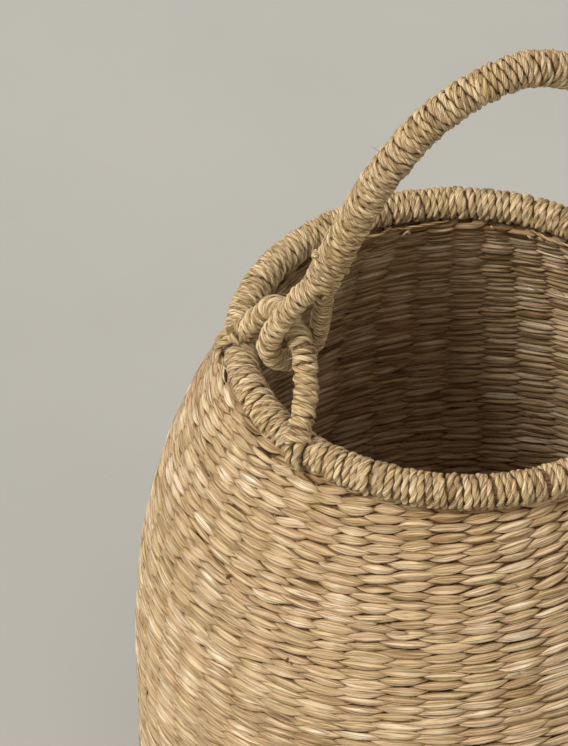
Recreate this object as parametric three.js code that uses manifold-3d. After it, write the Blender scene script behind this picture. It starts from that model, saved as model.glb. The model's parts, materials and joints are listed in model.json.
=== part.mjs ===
// Handled seagrass basket: two layers of weft around split cane stakes, a wrapped rim on two
// cane hoops, two wrapped ears, and a wrapped carrying handle whose eyes are linked through
// the ears. Millimetres, +Z up, origin on the floor under the middle of the basket. The ears
// stand on the X axis and the handle swings about a line along X.

import * as THREE from 'three';
import { mergeVertices } from 'three/addons/utils/BufferGeometryUtils.js';
import Module from 'manifold-3d';

// Body
const RIM_HEIGHT = 370; // floor to the middle of the rim roll
const RIM_RADIUS = 107; // axis to the middle of the rim roll
const RIM_ROLL = 8.5; // radius of the wrapped roll itself
const NECK_RADIUS = 111; // outside of the wall just under the rim
const BODY_RADIUS = 161.8; // outside of the wall at its widest
const BASE_RADIUS = 141; // where the flat base turns up into the heel
const HEEL_HEIGHT = 36;
const SHOULDER_HEIGHT = 165; // where the wall starts to lean in
const SHOULDER_POWER = 2.35; // how round the shoulder is
const WEFT = 2.6; // thickness of one layer of weft
const GAP = 0.3; // clearance between pieces that touch
const SLACK = 0.35; // room between a cane and what covers it

// Stakes
const RODS = 24; // each rod crosses the base and makes two stakes
const STAKE_SIDE = 3.6; // split cane, square
const STAKE_TIP = 1.3; // end of a stake below the rim roll
const CAVITY = STAKE_SIDE + 2 * SLACK; // room between the two layers of weft
const ROD_PITCH = 5.8; // spacing where the rods cross under the middle
const FAN_RADIUS = 80; // where the rods have fanned out evenly
const JOIN_RADIUS = 118; // where the base weave hands over to the wall weave

// Rim
const HOOP_WIRE = 1.8; // radius of the cane of a rim hoop
const HOOP_SPREAD = 4.1; // middle of the rim to the middle of each hoop
const HOOP_SLACK = 0.5; // room round the hoops inside the roll
const HOOP_MIDDLE = RIM_RADIUS - 0.8; // the ear's legs stand between the hoops here

// Ears
const EAR_CANE = 1.8; // radius of the bent cane inside an ear
const EAR_ROLL = 5.9; // radius of the wrapped ear
const EAR_HALF = 28; // radius of its arch about the swing axis
const EAR_SQUARE = 0.08; // share by which the arch stands out beyond that radius at its shoulders
const EAR_FOOT = 38.6; // half the distance between its legs where they meet the rim
const EAR_TOP = 89; // distance from the basket axis to the top of an ear
const EAR_LEAN = 4; // degrees that the arch leans in over the mouth
const EAR_ROOT = 30; // depth of its legs below the rim, inside the wall
const BINDING = 10.8; // length of the binding at each foot

// Handle
const HINGE_RISE = 12.5; // swing axis above the middle of the rim
const HANDLE_LEAN = 15; // degrees from upright, towards the front
const HANDLE_ROLL = 8.7; // radius of the wrapped grip
const HANDLE_TOP = 192.5; // swing axis to the middle of the grip at its top
const HANDLE_CANE = 2; // radius of the cane inside
const NECK_HALF = 81.8; // basket axis to the handle's neck
const NECK_FOOT = 61.5; // height of the neck above the swing axis
const NECK_WIDE = 7.3;
const NECK_DEEP = 5.4;
const NECK_WRAP = 0.7; // thickness of the neck's wrap at its wide sides
const NECK_FLARE = 1.5; // how far each run of cane spreads at the foot of the neck
const CANE_SEAM = 1.2; // gap between the ends of the handle's cane, at the top of the grip
const EYE_ROLL = 5.2; // radius of the wrapped eye strand
const EYE_MIDDLE = 89.8; // basket axis to the middle of an eye
const EYE_HALF = 12.5; // half the width of an eye between the middles of its strands
const EYE_LOW = 6.8; // swing axis to the middle of the eye's lowest strand
const EYE_TALL = 53.7; // height of the eye up to where its strands meet
const LASH_CORD = 0.9; // radius of the cord that lashes the neck
const LASH_LOOPS = 6;

const WALL_SIDES = 2 * RODS;
const STAKE_ANGLE = (2 * Math.PI) / WALL_SIDES;
const wasm = await Module();
wasm.setup();

const seagrass = () => new THREE.MeshStandardMaterial({ color: 0xbfa878, roughness: 0.85, metalness: 0 });
const innerWeave = () => new THREE.MeshStandardMaterial({ color: 0x9c8560, roughness: 0.9, metalness: 0 });
const cord = () => new THREE.MeshStandardMaterial({ color: 0xc9b283, roughness: 0.8, metalness: 0 });
const lash = () => new THREE.MeshStandardMaterial({ color: 0xd3bf92, roughness: 0.8, metalness: 0 });
const cane = () => new THREE.MeshStandardMaterial({ color: 0xb08f5c, roughness: 0.6, metalness: 0 });

function named(name, geometry, material) {
  const mesh = new THREE.Mesh(geometry, material);
  mesh.name = name;
  return mesh;
}

// A path with a vertex at each given point, whose section keeps its turn from a first direction.
// An arc also gives the directions in which it starts and ends, so that its end faces are radial.
class Route extends THREE.Curve {
  constructor(points, side, ends = []) {
    super();
    this.points = points;
    this.side = side;
    this.ends = ends;
  }

  getPoint(t, target = new THREE.Vector3()) {
    const place = t * (this.points.length - 1);
    const low = Math.min(Math.floor(place + 1e-9), this.points.length - 2);
    return target.lerpVectors(this.points[low], this.points[low + 1], place - low);
  }

  getPointAt(u, target) {
    return this.getPoint(u, target);
  }

  computeFrenetFrames(steps) {
    const tangents = [];
    const normals = [];
    const binormals = [];
    let side = this.side;
    for (let i = 0; i <= steps; i += 1) {
      const before = this.points[Math.max(i - 1, 0)];
      const after = this.points[Math.min(i + 1, steps)];
      const end = this.ends[[0, steps].indexOf(i)];
      const tangent = end ? end.clone() : after.clone().sub(before).normalize();
      const normal = side.clone().addScaledVector(tangent, -side.dot(tangent)).normalize();
      tangents.push(tangent);
      normals.push(normal);
      binormals.push(tangent.clone().cross(normal));
      side = normal;
    }
    return { tangents, normals, binormals };
  }
}

function polygon(radius, sides, across = radius) {
  const corners = [];
  for (let i = 0; i < sides; i += 1) {
    const turn = (2 * Math.PI * (i + 0.5)) / sides;
    corners.push(new THREE.Vector2(radius * Math.cos(turn), across * Math.sin(turn)));
  }
  return corners;
}

// A polygon with the area of a circle of the given radius
function roundish(radius, sides) {
  const turn = (2 * Math.PI) / sides;
  return polygon(radius * Math.sqrt(turn / Math.sin(turn)), sides);
}

function rectangle(halfX, halfY, shiftY = 0) {
  const corners = [[-1, -1], [1, -1], [1, 1], [-1, 1]];
  return corners.map(([x, y]) => new THREE.Vector2(x * halfX, y * halfY + shiftY));
}

function chamfered(halfX, halfY, cut) {
  const quarter = [[halfX, halfY - cut], [halfX - cut, halfY]];
  const signs = [[1, 1], [-1, 1], [-1, -1], [1, -1]];
  const corners = signs.map(([x, y]) => {
    const pair = quarter.map(([a, b]) => new THREE.Vector2(a * x, b * y));
    return x * y > 0 ? pair : pair.reverse();
  });
  return corners.flat();
}

function section(outside, bore) {
  const shape = new THREE.Shape(outside);
  if (bore) shape.holes.push(new THREE.Path(bore));
  return shape;
}

function tube(points, side, shape, ends) {
  const extrudePath = new Route(points, side, ends);
  return new THREE.ExtrudeGeometry(shape, { steps: points.length - 1, extrudePath });
}

function lathe(profile) {
  const closed = profile[0][0] > 0 ? [...profile, profile[0]] : profile;
  const points = closed.map(([radius, z]) => new THREE.Vector2(radius, z));
  return new THREE.LatheGeometry(points, WALL_SIDES, STAKE_ANGLE / 2).rotateX(Math.PI / 2);
}

function solid(geometry) {
  geometry.deleteAttribute('normal');
  geometry.deleteAttribute('uv');
  const merged = mergeVertices(geometry, 1e-4);
  const vertProperties = merged.attributes.position.array;
  const triVerts = new Uint32Array(merged.index.array);
  return new wasm.Manifold(new wasm.Mesh({ numProp: 3, vertProperties, triVerts }));
}

function geometryOf(manifold) {
  const mesh = manifold.getMesh();
  const geometry = new THREE.BufferGeometry();
  geometry.setAttribute('position', new THREE.BufferAttribute(mesh.vertProperties, 3));
  geometry.setIndex(new THREE.BufferAttribute(mesh.triVerts, 1));
  return geometry;
}

function around(radius, angle, z) {
  return new THREE.Vector3(radius * Math.cos(angle), radius * Math.sin(angle), z);
}

const mirrorX = (point) => new THREE.Vector3(-point.x, point.y, point.z);
const radians = THREE.MathUtils.degToRad;

// Underside of the rim roll over a given radius
function underRim(radius) {
  const out = Math.min(Math.abs(radius - RIM_RADIUS), RIM_ROLL);
  return RIM_HEIGHT - Math.sqrt(RIM_ROLL ** 2 - out ** 2) - GAP;
}

// Outside of the wall as radius and height: flat base, heel, upright wall, round shoulder
function outline() {
  const points = [[JOIN_RADIUS, 0]];
  for (const turn of [0, Math.PI / 4, Math.PI / 2]) {
    const radius = BASE_RADIUS + (BODY_RADIUS - BASE_RADIUS) * Math.sin(turn);
    points.push([radius, HEEL_HEIGHT * (1 - Math.cos(turn))]);
  }
  const top = RIM_HEIGHT - RIM_ROLL;
  for (const part of [0, 0.36, 0.61, 0.82, 1]) {
    const radius = BODY_RADIUS - (BODY_RADIUS - NECK_RADIUS) * part ** SHOULDER_POWER;
    points.push([radius, SHOULDER_HEIGHT + (top - SHOULDER_HEIGHT) * part]);
  }
  return points;
}

// The same outline moved in by a depth, its last stretch carried to a given height
function wallLine(depth, topHeight) {
  const line = outline();
  const inward = line.slice(1).map(([radius, z], i) => {
    const along = new THREE.Vector2(radius - line[i][0], z - line[i][1]).normalize();
    return new THREE.Vector2(-along.y, along.x);
  });
  const moved = line.map(([radius, z], i) => {
    const first = inward[Math.max(i - 1, 0)];
    const second = inward[Math.min(i, inward.length - 1)];
    const mitre = first.clone().add(second).multiplyScalar(1 / (1 + first.dot(second)));
    return [radius + mitre.x * depth, z + mitre.y * depth];
  });
  const last = moved.length - 1;
  const [lowRadius, lowZ] = moved[last - 1];
  const [highRadius, highZ] = moved[last];
  const reach = (topHeight - lowZ) / (highZ - lowZ);
  moved[last] = [lowRadius + (highRadius - lowRadius) * reach, topHeight];
  return moved;
}

function wallLayer(depth) {
  const near = NECK_RADIUS - depth;
  const far = NECK_RADIUS - depth - WEFT * 1.15;
  const top = Math.min(underRim(near), underRim(far));
  return lathe([...wallLine(depth, top), ...wallLine(depth + WEFT, top).reverse()]);
}

const STAKE_MIDDLE = WEFT + CAVITY / 2;
const CROSSING = (RODS / 2) * ROD_PITCH * 0.5 + STAKE_SIDE / 2; // half the crossing's width
const UPPER_LAYER = STAKE_MIDDLE + STAKE_SIDE + GAP;

function baseOuter() {
  const edge = JOIN_RADIUS - GAP;
  return lathe([[0, 0], [edge, 0], [edge, WEFT], [0, WEFT]]);
}

function baseInner() {
  const edge = JOIN_RADIUS - GAP;
  const raised = UPPER_LAYER + STAKE_SIDE / 2 + GAP;
  const flat = WEFT + CAVITY;
  const brow = CROSSING * 1.36; // nearly out to the corners of the crossing
  const foot = FAN_RADIUS + STAKE_SIDE;
  const under = [[0, raised], [brow, raised], [foot, flat], [edge, flat]];
  const over = under.map(([radius, z]) => [radius, z + WEFT]).reverse();
  return lathe([...under, ...over]);
}

// Half of a rod, from the edge of the crossing under the middle to the stake's tip under the rim
function stakeHalf(place, layer) {
  const angle = place * STAKE_ANGLE;
  const tip = RIM_HEIGHT - RIM_ROLL - STAKE_TIP;
  const wall = wallLine(STAKE_MIDDLE, tip).slice(1);
  return [
    new THREE.Vector3(CROSSING, place * ROD_PITCH, layer),
    around(FAN_RADIUS, angle, STAKE_MIDDLE),
    ...wall.map(([radius, z]) => around(radius, angle, z)),
  ];
}

function rod(order, upper) {
  const place = order - (RODS / 2 - 1) / 2;
  const half = stakeHalf(place, upper ? UPPER_LAYER : STAKE_MIDDLE);
  const points = [...half.map(mirrorX).reverse(), ...half];
  const square = section(rectangle(STAKE_SIDE / 2, STAKE_SIDE / 2));
  const sideways = around(1, Math.PI / 2 - place * STAKE_ANGLE, 0);
  const geometry = tube(points, sideways, square);
  return upper ? geometry.rotateZ(Math.PI / 2) : geometry;
}

// Angle of an ear's leg from the X axis, where it passes between the hoops
const LEG_ANGLE = Math.asin(EAR_FOOT / HOOP_MIDDLE);
const BINDING_ANGLE = BINDING / RIM_RADIUS / 2;
const BINDING_GAP = GAP / RIM_RADIUS;

function hoop(radius) {
  const wire = polygon(HOOP_WIRE, 6);
  return lathe(wire.map((corner) => [radius + corner.x, RIM_HEIGHT + corner.y]));
}

function rimSection() {
  const high = HOOP_WIRE + HOOP_SLACK;
  const bore = rectangle(high, HOOP_SPREAD + high, HOOP_MIDDLE - RIM_RADIUS);
  return section(polygon(RIM_ROLL, 10), bore);
}

function rimArc(from, to, steps, shape = rimSection()) {
  const points = [];
  for (let i = 0; i <= steps; i += 1) {
    points.push(around(RIM_RADIUS, from + ((to - from) * i) / steps, RIM_HEIGHT));
  }
  // Going anticlockwise, the section's second direction points away from the axis
  const ends = [from, to].map((angle) => around(1, angle + Math.PI / 2, 0));
  return tube(points, new THREE.Vector3(0, 0, 1), shape, ends);
}

// Path of an ear's cane on the +X side, from one root inside the wall to the other
function earPath() {
  const arch = [];
  const axis = RIM_HEIGHT + HINGE_RISE;
  const leaning = (y, z) => {
    const lean = (axis + EAR_HALF - z) * Math.tan(radians(EAR_LEAN));
    return new THREE.Vector3(EAR_TOP + lean, y, z);
  };
  for (let turn = 60; turn > -61; turn -= 15) {
    const reach = EAR_HALF * (1 + EAR_SQUARE * Math.sin(radians(2 * turn)) ** 2);
    arch.push(leaning(reach * Math.sin(radians(turn)), axis + reach * Math.cos(radians(turn))));
  }
  // The legs spread from the arch, and lean out to the rim only below the swing axis
  const shoulder = arch[0];
  const drop = (shoulder.z - axis) / (shoulder.z - RIM_HEIGHT);
  const spread = shoulder.y + (EAR_FOOT - shoulder.y) * drop;
  arch.unshift(leaning(spread, axis));
  arch.push(leaning(-spread, axis));
  const wall = wallLine(STAKE_MIDDLE, RIM_HEIGHT - RIM_ROLL);
  const [lowRadius, lowZ] = wall[wall.length - 2];
  const [highRadius, highZ] = wall[wall.length - 1];
  const rootZ = RIM_HEIGHT - EAR_ROOT;
  const rootRadius = lowRadius + ((highRadius - lowRadius) * (rootZ - lowZ)) / (highZ - lowZ);
  const leg = [
    [rootRadius - 0.1, rootZ],
    [highRadius - 0.1, highZ],
    [HOOP_MIDDLE, RIM_HEIGHT - HOOP_WIRE],
    [HOOP_MIDDLE, RIM_HEIGHT + HOOP_WIRE],
  ];
  const root = leg.map(([radius, z]) => around(radius, LEG_ANGLE, z));
  const mirror = (point) => new THREE.Vector3(point.x, -point.y, point.z);
  return [...root, ...arch, ...root.map(mirror).reverse()];
}

const EAR_SIDE = new THREE.Vector3(1, 0, 0);
const WRAP_FROM = 3; // first of the ear's points that the wrap covers

function earCore(path) {
  return tube(path, EAR_SIDE, section(polygon(EAR_CANE, 6)));
}

function earWrap(path) {
  const boreRadius = (EAR_CANE + GAP) / Math.cos(Math.PI / 6);
  const shape = section(roundish(EAR_ROLL, 8), polygon(boreRadius, 6));
  const wrapped = tube(path.slice(WRAP_FROM, path.length - WRAP_FROM), EAR_SIDE, shape);
  const roll = section(polygon(RIM_ROLL + 2 * GAP, 10));
  const rim = rimArc(-2 * LEG_ANGLE, 2 * LEG_ANGLE, 12, roll);
  return geometryOf(solid(wrapped).subtract(solid(rim)));
}

function footBinding(angle, path) {
  const ring = rimArc(angle - BINDING_ANGLE, angle + BINDING_ANGLE, 2);
  const boreRadius = (EAR_CANE + GAP) / Math.cos(Math.PI / 6);
  const drill = tube(path, EAR_SIDE, section(polygon(boreRadius, 6)));
  return geometryOf(solid(ring).subtract(solid(drill)));
}

function turned(geometry, half) {
  return half ? geometry.rotateZ(Math.PI) : geometry;
}

function addEars(basket) {
  const path = earPath();
  for (const [side, half] of [['right', false], ['left', true]]) {
    basket.add(named(`${side}_ear_core`, turned(earCore(path), half), cane()));
    basket.add(named(`${side}_ear_wrap`, turned(earWrap(path), half), cord()));
    const feet = half ? ['front', 'back'] : ['back', 'front'];
    basket.add(named(`${side}_${feet[0]}_foot_binding`, turned(footBinding(LEG_ANGLE, path), half), cord()));
    basket.add(named(`${side}_${feet[1]}_foot_binding`, turned(footBinding(-LEG_ANGLE, path), half), cord()));
  }
}

function addRim(basket) {
  basket.add(named('rim_inner_hoop', hoop(HOOP_MIDDLE - HOOP_SPREAD), cane()));
  basket.add(named('rim_outer_hoop', hoop(HOOP_MIDDLE + HOOP_SPREAD), cane()));
  const edge = BINDING_ANGLE + BINDING_GAP;
  const near = LEG_ANGLE - edge;
  const far = LEG_ANGLE + edge;
  basket.add(named('rim_wrap_right', rimArc(-near, near, 5), cord()));
  basket.add(named('rim_wrap_left', rimArc(Math.PI - near, Math.PI + near, 5), cord()));
  basket.add(named('rim_wrap_back', rimArc(far, Math.PI - far, 24), cord()));
  basket.add(named('rim_wrap_front', rimArc(Math.PI + far, 2 * Math.PI - far, 24), cord()));
}

function addBody(basket) {
  basket.add(named('base_outer_weave', baseOuter(), seagrass()));
  basket.add(named('base_inner_weave', baseInner(), innerWeave()));
  basket.add(named('wall_outer_weave', wallLayer(0), seagrass()));
  basket.add(named('wall_inner_weave', wallLayer(WEFT + CAVITY), innerWeave()));
  for (let i = 0; i < RODS; i += 1) {
    const name = `stake_${String(i + 1).padStart(2, '0')}`;
    basket.add(named(name, rod(i % (RODS / 2), i >= RODS / 2), cane()));
  }
}

// The handle lies in its own XZ plane, with the swing axis along X through its origin
const FLAT = new THREE.Vector3(0, 1, 0);
const ARCH_STEPS = 28;
const NECK_STEPS = 2;

function archCurve() {
  const rise = HANDLE_TOP - NECK_FOOT;
  const half = [[1, 0], [0.864, 0.32], [0.7, 0.617], [0.418, 0.878]];
  const left = half.map(([u, h]) => new THREE.Vector3(-NECK_HALF * u, 0, NECK_FOOT + rise * h));
  const right = half.map(([u, h]) => new THREE.Vector3(NECK_HALF * u, 0, NECK_FOOT + rise * h));
  return new THREE.CatmullRomCurve3([...left, new THREE.Vector3(0, 0, HANDLE_TOP), ...right.reverse()]);
}

function archFrames() {
  const curve = archCurve();
  const frames = [];
  for (let i = 0; i <= ARCH_STEPS; i += 1) {
    const along = curve.getTangentAt(i / ARCH_STEPS);
    frames.push({ at: curve.getPointAt(i / ARCH_STEPS), out: new THREE.Vector3(-along.z, 0, along.x) });
  }
  return frames;
}

const RUN_SPREAD = HANDLE_CANE + SLACK; // middle of the grip to the middle of each run of cane
const FOOT_SPREAD = RUN_SPREAD + NECK_FLARE; // the same at the foot of the neck

// One of the two runs of cane along the arch, on the outer side (1) or the inner side (-1)
function run(frames, side) {
  return frames.map((frame, i) => {
    const spread = i % ARCH_STEPS === 0 ? FOOT_SPREAD : RUN_SPREAD;
    return frame.at.clone().addScaledVector(frame.out, side * spread);
  });
}

// Teardrop of the eye on the +X side, from its outer end over the bottom to its inner end
function eyePath() {
  const drop = [
    [0, 0.95], [0.34, 0.815], [0.7, 0.655], [0.94, 0.5], [1, 0.34], [0.83, 0.165], [0.43, 0.04],
    [-0.05, 0], [-0.55, 0.04], [-0.88, 0.17], [-0.985, 0.35], [-1, 0.55], [-0.98, 0.75], [-0.93, 0.92],
  ];
  return drop.map(([u, h]) => new THREE.Vector3(EYE_MIDDLE + EYE_HALF * u, 0, EYE_LOW + EYE_TALL * h));
}

function handleCore(frames) {
  const outer = run(frames, 1);
  const inner = run(frames, -1);
  const eye = eyePath();
  const middle = ARCH_STEPS / 2;
  const seam = new THREE.Vector3(CANE_SEAM / 2, 0, 0);
  const points = [
    outer[middle].clone().sub(seam),
    ...outer.slice(0, middle).reverse(),
    ...eye.map(mirrorX),
    ...inner,
    ...eye.slice().reverse(),
    ...outer.slice(middle + 1).reverse(),
    outer[middle].clone().add(seam),
  ];
  return tube(points, FLAT, section(polygon(HANDLE_CANE, 5)));
}

// A stretch of the arch between two of its frames, shortened at both ends
function stretch(frames, from, to, shorten) {
  const points = frames.slice(from, to + 1).map((frame) => frame.at.clone());
  const last = points.length - 1;
  points[0].add(points[1].clone().sub(points[0]).setLength(shorten));
  points[last].add(points[last - 1].clone().sub(points[last]).setLength(shorten));
  return points;
}

function gripWrap(frames) {
  const bore = rectangle(HANDLE_CANE + SLACK, RUN_SPREAD + HANDLE_CANE + SLACK);
  const points = stretch(frames, NECK_STEPS, ARCH_STEPS - NECK_STEPS, GAP / 2);
  return tube(points, FLAT, section(polygon(HANDLE_ROLL, 10), bore));
}

function neckWrap(frames) {
  const bore = chamfered(HANDLE_CANE + SLACK, NECK_WIDE - NECK_WRAP, HANDLE_CANE * 0.8);
  const points = stretch(frames, ARCH_STEPS - NECK_STEPS, ARCH_STEPS, GAP / 2);
  return tube(points, FLAT, section(polygon(NECK_DEEP, 12, NECK_WIDE), bore));
}

function eyeWrap() {
  const bore = polygon((HANDLE_CANE + GAP) / Math.cos(Math.PI / 5), 5);
  return tube(eyePath(), FLAT, section(roundish(EYE_ROLL, 8), bore));
}

const LOOP_STEPS = 24;

// Cord wound round the neck on the +X side
function lashingPath(frames) {
  const steps = LASH_LOOPS * LOOP_STEPS;
  const points = [];
  for (let i = 0; i <= steps; i += 1) {
    const place = NECK_STEPS * (0.1 + (0.8 * i) / steps);
    const turn = (2 * Math.PI * i) / LOOP_STEPS;
    const low = frames[ARCH_STEPS - Math.floor(place)];
    const high = frames[ARCH_STEPS - Math.floor(place) - 1];
    const out = low.out.clone().lerp(high.out, place % 1);
    const middle = low.at.clone().lerp(high.at, place % 1);
    const wide = (NECK_WIDE + GAP + LASH_CORD) * Math.cos(turn);
    const deep = (NECK_DEEP + GAP + LASH_CORD) * Math.sin(turn);
    points.push(middle.addScaledVector(out, wide).addScaledVector(FLAT, deep));
  }
  return points;
}

// Least distance between turns of a winding, surface to surface
function leastGap(points, radius) {
  let least = Infinity;
  for (let i = 0; i < points.length; i += 1) {
    for (let j = i + LOOP_STEPS / 2; j < points.length; j += 1) {
      least = Math.min(least, points[i].distanceTo(points[j]));
    }
  }
  return least - 2 * radius;
}

function lashing(frames) {
  const points = lashingPath(frames);
  console.log('least gap of the lashing to itself, mm:', leastGap(points, LASH_CORD).toFixed(2));
  return tube(points, FLAT, section(polygon(LASH_CORD, 6)));
}

function makeHandle() {
  const handle = new THREE.Group();
  const frames = archFrames();
  handle.add(named('handle_core', handleCore(frames), cane()));
  handle.add(named('handle_wrap', gripWrap(frames), cord()));
  for (const [side, half] of [['right', false], ['left', true]]) {
    handle.add(named(`${side}_eye_wrap`, turned(eyeWrap(), half), cord()));
    handle.add(named(`${side}_neck_wrap`, turned(neckWrap(frames), half), cord()));
    handle.add(named(`${side}_lashing`, turned(lashing(frames), half), lash()));
  }
  handle.position.z = RIM_HEIGHT + HINGE_RISE;
  handle.rotation.x = radians(HANDLE_LEAN);
  return handle;
}

const basket = new THREE.Group();
addBody(basket);
addRim(basket);
addEars(basket);
basket.add(makeHandle());

export default basket;
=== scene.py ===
"""Handled seagrass basket: twined body, cord-wrapped rim, ears, eyes and grip.

Metres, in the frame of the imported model: the floor is z = 0, the ears stand on the X axis and
the handle swings about a line along X. The front of the basket is towards -Y.
"""

import json
import math

import bpy
import numpy as np
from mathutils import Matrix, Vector


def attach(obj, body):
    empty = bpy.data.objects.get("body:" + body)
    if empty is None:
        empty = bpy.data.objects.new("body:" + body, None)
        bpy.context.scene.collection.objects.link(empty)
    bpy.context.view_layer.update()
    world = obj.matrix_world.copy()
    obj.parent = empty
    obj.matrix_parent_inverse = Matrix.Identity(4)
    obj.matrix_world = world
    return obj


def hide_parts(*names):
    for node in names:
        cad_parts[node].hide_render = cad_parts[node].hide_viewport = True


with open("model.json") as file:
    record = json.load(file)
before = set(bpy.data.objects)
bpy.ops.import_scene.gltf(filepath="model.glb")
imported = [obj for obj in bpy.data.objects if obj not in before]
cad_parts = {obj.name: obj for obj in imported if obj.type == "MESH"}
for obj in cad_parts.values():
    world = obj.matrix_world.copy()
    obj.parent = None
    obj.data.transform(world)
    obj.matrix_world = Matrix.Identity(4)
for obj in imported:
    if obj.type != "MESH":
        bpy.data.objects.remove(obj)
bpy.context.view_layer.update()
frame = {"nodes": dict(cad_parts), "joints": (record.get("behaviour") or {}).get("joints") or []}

MM = 0.001
PHOTO_WIDTH, PHOTO_HEIGHT = 568, 746

# Body, as in the solids
RIM_HEIGHT = 370 * MM
RIM_RADIUS = 107 * MM
RIM_ROLL = 8.5 * MM
NECK_RADIUS = 111 * MM
BODY_RADIUS = 161.8 * MM
BASE_RADIUS = 141 * MM
HEEL_HEIGHT = 36 * MM
SHOULDER_HEIGHT = 165 * MM
SHOULDER_POWER = 2.35
WEFT = 2.6 * MM
CAVITY = 4.3 * MM
WALL_DEPTH = WEFT + CAVITY / 2  # outside of the wall to the middle of the stakes
STAKES = 48

# Weave
ROW_PITCH = 4.9 * MM
STITCHES_IN_BAND = 8 * STAKES
BASE_JOIN = 118 * MM  # radius where the base hands over to the wall
OUTER_LINES = 7  # lines of points along a strand's outer face
INNER_LINES = 5
OUTER_FALL = (1.0 * MM, 2.1 * MM)  # how far a strand's edges lie under the middle of its face
INNER_FALL = (1.2 * MM, 2.3 * MM)
FOLD = 0.34 * MM  # how far the lines along a strand's face rise and sink at random
TILT = 0.08 * MM  # how far a strand's lower edge stands out past the middle of its face
SHADE_SHEET_HALF_DEPTH = 1.7 * MM  # half depth of the near-black sheet between the two faces of the wall, painted shade that shows in the gaps of the weave
INNER_SHADE = -0.06  # painted shade: the inside faces of the weave are toned darker than the outside
UNDER_RIM = 3.6 * MM  # how far the weave runs on inside the rim's turns
DIM_ROWS = 2  # rows under the rim's turns, toned darker as painted shade under the rim
DIM_SHADE = -0.26
FIRST_ROW = 9 * MM  # distance from the middle of the base to the lower edge of the first row
FOURS_RADIUS = 38 * MM  # within it a row is twined round the rods in fours
PAIRS_RADIUS = 78 * MM  # within it, in pairs
CROSSING_RADIUS = 50 * MM  # within it the base rises over the crossing of the rods
CROSSING_FADE = 34 * MM
CROSSING_LIFT = 1.9 * MM
# tone of that sheet, near black: painted shade
SHADE_SHEET_TONE = 0.04
STRAND_ENDS = 150  # ends that stand out of the weave
KNOTS = ((-136.8, -38.6, 295.9), (-123.9, -82.2, 275.4))  # mm, strand ends tucked into the wall, toned near black as painted shade of the holes they go into
BLADE_SIDES = 6
CUT_ENDS_SEEN = (100.5, 81.5, 57, 46)  # degrees, where the photo shows cut ends under the rim
CUT_ENDS_MORE = 34
TIE_STRANDS = 20

# A strand between two stakes: where its sections stand, in stake spacings
STITCH_PLACES = np.array((0, 0.15, 0.28, 0.37, 0.44, 0.5, 0.56, 0.63, 0.72, 0.85))
STITCH_STEPS = len(STITCH_PLACES)

# Its outer face by distance from the middle of an outer stitch, in stake spacings. The inner face
# is the same by distance from the middle of an inner stitch.
FACE_PLACES = (0, 0.2, 0.35, 0.5, 0.6, 0.68, 0.75, 0.85, 1)
FACE_OUT = (4.95, 4.88, 4.7, 4.3, 3.75, 2.9, 1.5, -1.8, -2.15)  # mm from the middle of the wall
FACE_UP = (0, 0.1, 0.18, 0.26, 0.3, 0.33, 0.34, 0.28, 0.2)  # shares of the row pitch
FACE_HALF = (0.56, 0.52, 0.42, 0.27, 0.16, 0.1, 0.09, 0.08, 0.08)  # half height, in the same

# Ears and handle, as in the solids
HINGE = Vector(frame["joints"][0]["pos_m"])
EAR_HALF = 28 * MM  # radius of an ear's arch about the hinge
EAR_SQUARE = 0.08  # share by which the arch stands out beyond that at its shoulders
EAR_FOOT = 38.6 * MM  # half the distance between its legs
EAR_TOP = 89 * MM  # distance from the basket's axis to its top
EAR_LEAN = math.radians(4)
EAR_ROLL = 6.3 * MM
LEG_RADIUS = 106.2 * MM
LEG_ANGLE = math.asin(EAR_FOOT / LEG_RADIUS)
FOOT_DRIFT = math.radians(2.6)
TIGHT_LEG_ANGLE = LEG_ANGLE - FOOT_DRIFT  # one foot of each ear is pulled nearer to the other
BINDING_ANGLE = 10.8 * MM / RIM_RADIUS / 2
HANDLE_LEAN = math.radians(15)
HANDLE_ROLL = 8.7 * MM
HANDLE_TOP = 192.5 * MM  # hinge to the middle of the grip at its top
PLANE_NORMAL = np.array([0, -math.cos(HANDLE_LEAN), -math.sin(HANDLE_LEAN)])
ARCH_STEPS = 280
NECK_STEPS = 20  # of these at each end of the arch
NECK_HALF = 81.8 * MM  # basket's axis to the foot of a neck
NECK_FOOT = 61.5 * MM
NECK_WIDE = 7.3 * MM
NECK_DEEP = 5.4 * MM
NECK_KNOTS = ((0.96, -1.9), (0.55, 1.5))  # share of the neck's length, angle round it
EYE_ROLL = 5.2 * MM
EYE_MIDDLE = 89.8 * MM
EYE_HALF = 12.5 * MM
EYE_LOW = 6.8 * MM
EYE_TALL = 53.7 * MM
EYE_POINTS = 120
EYE_THICK = 78  # of these are wound with the thick cord, the rest with the fine one

# Middle of an eye's strand, across in shares of EYE_HALF and up in shares of EYE_TALL
EYE_DROP = (
    (-0.42, 1.06), (0, 0.95), (0.34, 0.815), (0.7, 0.655), (0.94, 0.5), (1, 0.34),
    (0.83, 0.165), (0.43, 0.04), (-0.05, 0), (-0.55, 0.04), (-0.88, 0.17), (-0.985, 0.35),
    (-1, 0.55), (-0.98, 0.75), (-0.93, 0.92), (-0.86, 1.03),
)

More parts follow.
